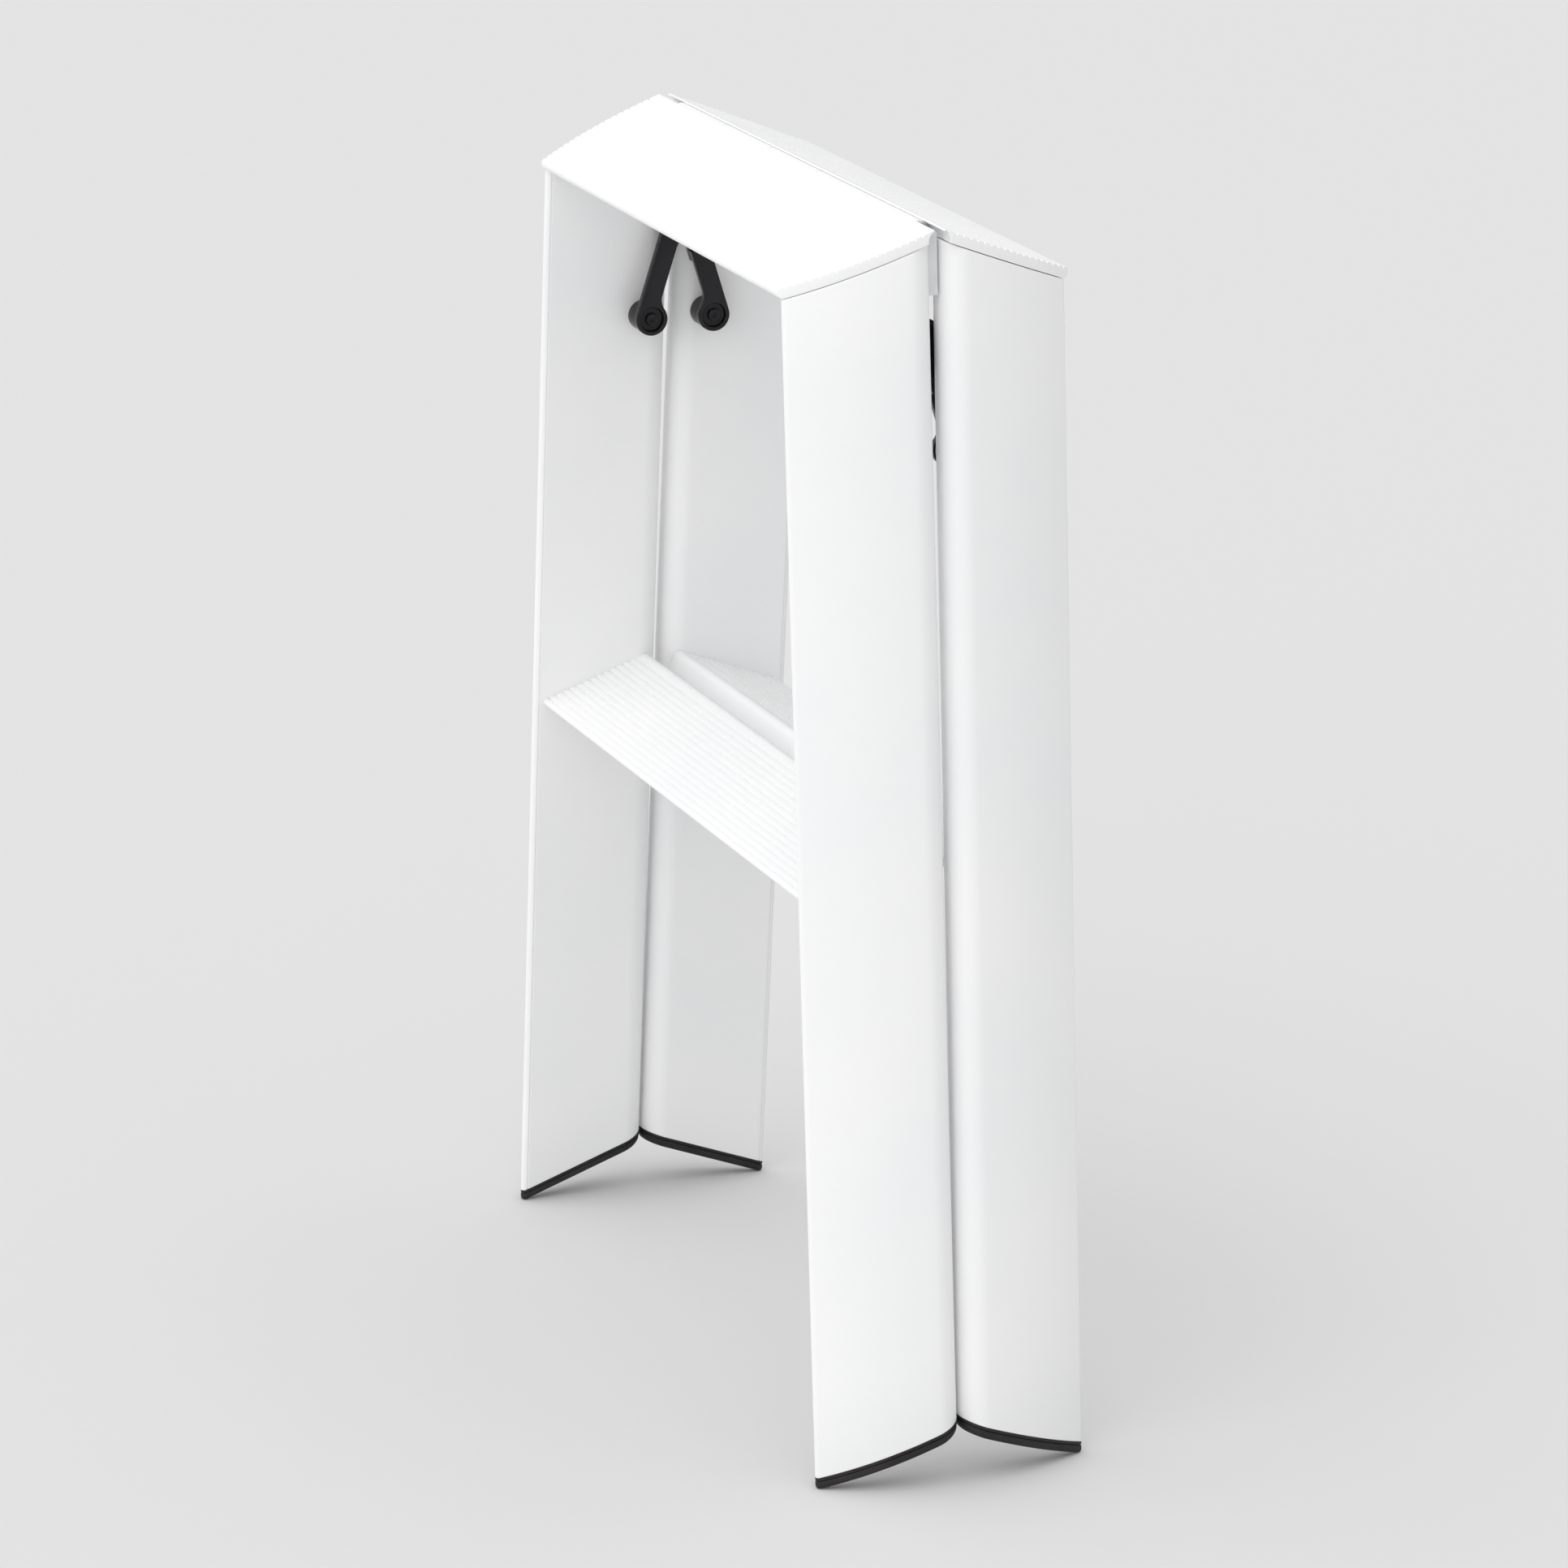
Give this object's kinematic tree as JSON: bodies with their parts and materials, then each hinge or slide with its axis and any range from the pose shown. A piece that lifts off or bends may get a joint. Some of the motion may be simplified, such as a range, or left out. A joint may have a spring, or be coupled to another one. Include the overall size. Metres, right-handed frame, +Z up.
{
  "type": "step stool",
  "caption": "Folding step stool: mirror-image ladder frames hinged along the top, with ribbed treads, bowed side panels, rubber feet and black locking links; shown folded.",
  "frame": {"origin": "centre of the folded stool's outline, on the floor it stands on", "axes": "+Z up, X across the stool along the hinge line, Y front to back with the front frame on -Y"},
  "size_m": [0.489, 0.1516, 0.6214],
  "materials": {
    "white_coat": "fine white powder coat, semi-matt",
    "bracket_metal": "satin",
    "steel_rod": "ground bar",
    "screw_steel": "zinc plated",
    "grey_plastic": "matt grey",
    "pale_plastic": "pale grey buffer",
    "black_plastic": "satin black moulding",
    "black_pin": "blackened steel",
    "foot_rubber": "dark charcoal rubber"
  },
  "bodies": {
    "front_frame": {"edge_pad": "pale_plastic", "foot_front_left": "foot_rubber", "foot_front_right": "foot_rubber", "hinge_rail_front": "white_coat", "hinge_rod": "steel_rod", "hinge_rod_cap": "grey_plastic", "link_stud_front": "black_plastic", "link_washer_front": "black_plastic", "middle_step_front": "white_coat", "rail_screw_front": "screw_steel", "side_panel_front_left": "white_coat", "side_panel_front_right": "white_coat", "step_bracket_front": "bracket_metal", "step_bracket_rivet_front": "screw_steel", "step_bracket_screw_front": "screw_steel", "top_tread_front": "white_coat", "tread_bracket_front": "bracket_metal", "tread_bracket_screw_front": "screw_steel"},
    "rear_frame": {"foot_rear_left": "foot_rubber", "foot_rear_right": "foot_rubber", "hinge_rail_rear": "white_coat", "link_stud_rear": "black_plastic", "link_washer_rear": "black_plastic", "middle_step_rear": "white_coat", "rail_screw_rear": "screw_steel", "side_panel_rear_left": "white_coat", "side_panel_rear_right": "white_coat", "step_bracket_rear": "bracket_metal", "step_bracket_rivet_rear": "screw_steel", "step_bracket_screw_rear": "screw_steel", "top_tread_rear": "white_coat", "tread_bracket_rear": "bracket_metal", "tread_bracket_screw_rear": "screw_steel"},
    "link_front_right": {"link_arm_front_right": "black_plastic", "link_pin_right": "black_pin"},
    "link_front_left": {"link_arm_front_left": "black_plastic", "link_pin_left": "black_pin"},
    "link_rear_right": {"link_arm_rear_right": "black_plastic"},
    "link_rear_left": {"link_arm_rear_left": "black_plastic"}
  },
  "joints": [
    {"name": "unfold", "type": "hinge", "parent": "front_frame", "child": "rear_frame", "pos_m": [0, 0, 0.61564], "axis": [1, 0, 0], "range_deg": [0, 41.34]},
    {"name": "link_front_right_turn", "type": "hinge", "parent": "front_frame", "child": "link_front_right", "pos_m": [0.16311, -0.0175, 0.50684], "axis": [1, 0, 0], "range_deg": [-32.6, 0]},
    {"name": "link_front_left_turn", "type": "hinge", "parent": "front_frame", "child": "link_front_left", "pos_m": [-0.16311, -0.0175, 0.50684], "axis": [1, 0, 0], "range_deg": [-32.6, 0]},
    {"name": "link_rear_right_turn", "type": "hinge", "parent": "rear_frame", "child": "link_rear_right", "pos_m": [0.16311, 0.0175, 0.50684], "axis": [1, 0, 0], "range_deg": [0, 32.6]},
    {"name": "link_rear_left_turn", "type": "hinge", "parent": "rear_frame", "child": "link_rear_left", "pos_m": [-0.16311, 0.0175, 0.50684], "axis": [1, 0, 0], "range_deg": [0, 32.6]}
  ],
  "couplings": [
    {"joint": "link_front_right_turn", "follows": "unfold", "ratio": -0.78815},
    {"joint": "link_front_left_turn", "follows": "unfold", "ratio": -0.78815},
    {"joint": "link_rear_right_turn", "follows": "unfold", "ratio": 0.78815},
    {"joint": "link_rear_left_turn", "follows": "unfold", "ratio": 0.78815}
  ]
}
